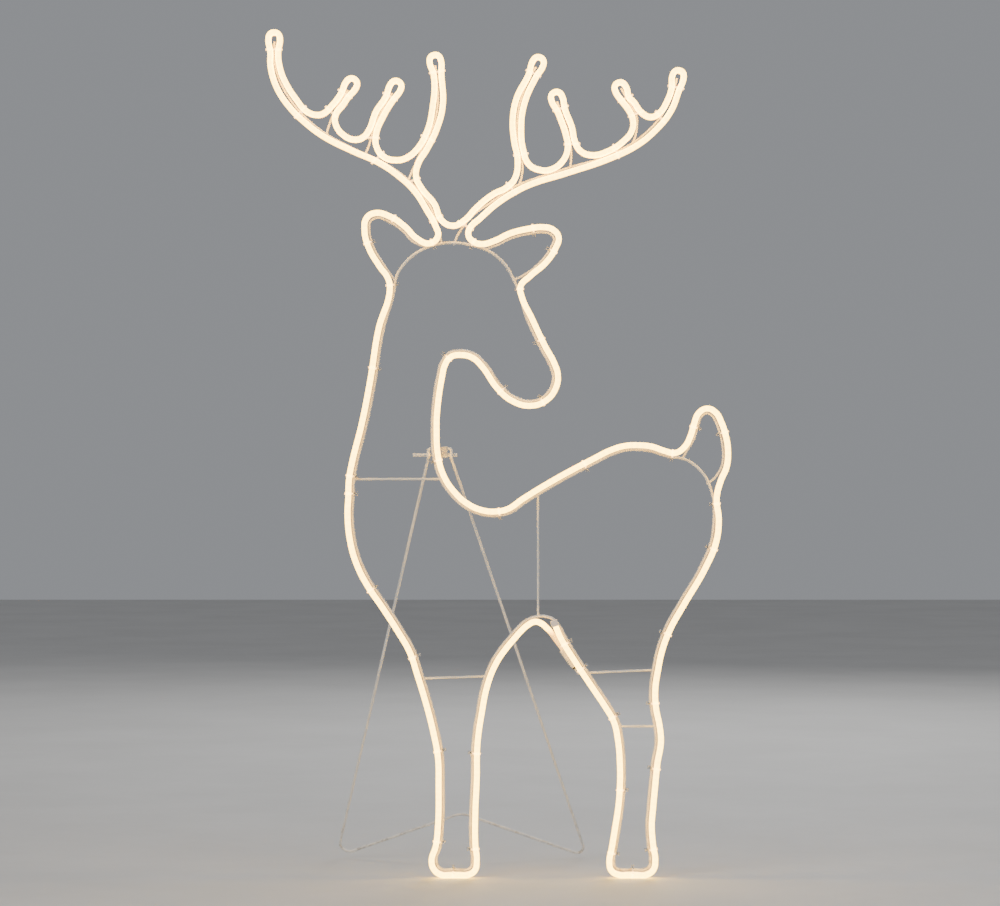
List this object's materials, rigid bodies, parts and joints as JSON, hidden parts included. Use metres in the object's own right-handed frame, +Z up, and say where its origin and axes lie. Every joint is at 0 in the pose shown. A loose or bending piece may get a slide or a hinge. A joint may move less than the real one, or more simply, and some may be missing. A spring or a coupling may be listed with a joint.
{
  "type": "light up yard reindeer",
  "caption": "Flat outline reindeer of lit neon flex tied to a wire frame, with a fold-out wire stand behind it.",
  "frame": {"origin": "bottom centre of the whole object, at the level the hooves and the stand's feet rest on", "axes": "+Z up; the lit outline lies in a plane across X with its lit side facing -Y; +X is to the right seen from the front, towards the tail"},
  "size_m": [0.6595, 0.2469, 1.2025],
  "materials": {
    "flex": "milky translucent silicone, lit from inside, warm white",
    "frame_wire": "white powder coat on steel wire",
    "stand_wire": "white powder coat on steel wire",
    "hinge_clip": "white coated folded sheet",
    "led_strip": "white flexible circuit strip with warm LEDs",
    "flex_backing": "opaque white silicone",
    "end_cap": "white silicone cap",
    "inlet_plastic": "moulded off-white plastic",
    "inlet_pins": "bright brass",
    "seal": "black rubber",
    "cable_ties": "clear nylon"
  },
  "bodies": {
    "deer": {"flex_hind_leg_front": "flex", "flex_hind_hoof": "flex", "flex_hind_leg_rear": "flex", "flex_tail": "flex", "flex_back": "flex", "flex_head": "flex", "flex_ear_right": "flex", "flex_antler_right": "flex", "flex_crown": "flex", "flex_antler_left": "flex", "flex_ear_left": "flex", "flex_neck": "flex", "flex_front_leg_front": "flex", "flex_front_hoof": "flex", "flex_front_leg_rear": "flex", "flex_arch": "flex", "flex_tail_end": "flex", "hind_leg_wire": "frame_wire", "back_wire": "frame_wire", "head_wire": "frame_wire", "neck_wire": "frame_wire", "front_leg_wire": "frame_wire", "ear_wire_left": "frame_wire", "ear_wire_right": "frame_wire", "tail_wire": "frame_wire", "antler_spine_left": "frame_wire", "antler_spine_right": "frame_wire", "antler_branches_left": "frame_wire", "antler_branches_right": "frame_wire", "neck_brace": "frame_wire", "belly_brace": "frame_wire", "front_leg_brace": "frame_wire", "thigh_brace": "frame_wire", "shin_brace": "frame_wire", "crossbar": "frame_wire", "flex_end_cap": "end_cap", "power_inlet": "inlet_plastic", "inlet_pins": "inlet_pins", "inlet_seal": "seal", "led_strip": "led_strip", "flex_backing": "flex_backing", "cable_ties": "cable_ties"},
    "stand": {"stand_legs": "stand_wire", "stand_hinge": "stand_wire", "hinge_clip": "hinge_clip"}
  },
  "joints": [
    {"name": "stand_fold", "type": "hinge", "parent": "deer", "child": "stand", "pos_m": [-0.0825, -0.1012, 0.599], "axis": [1, 0, 0], "range_deg": [-20, 0]}
  ]
}
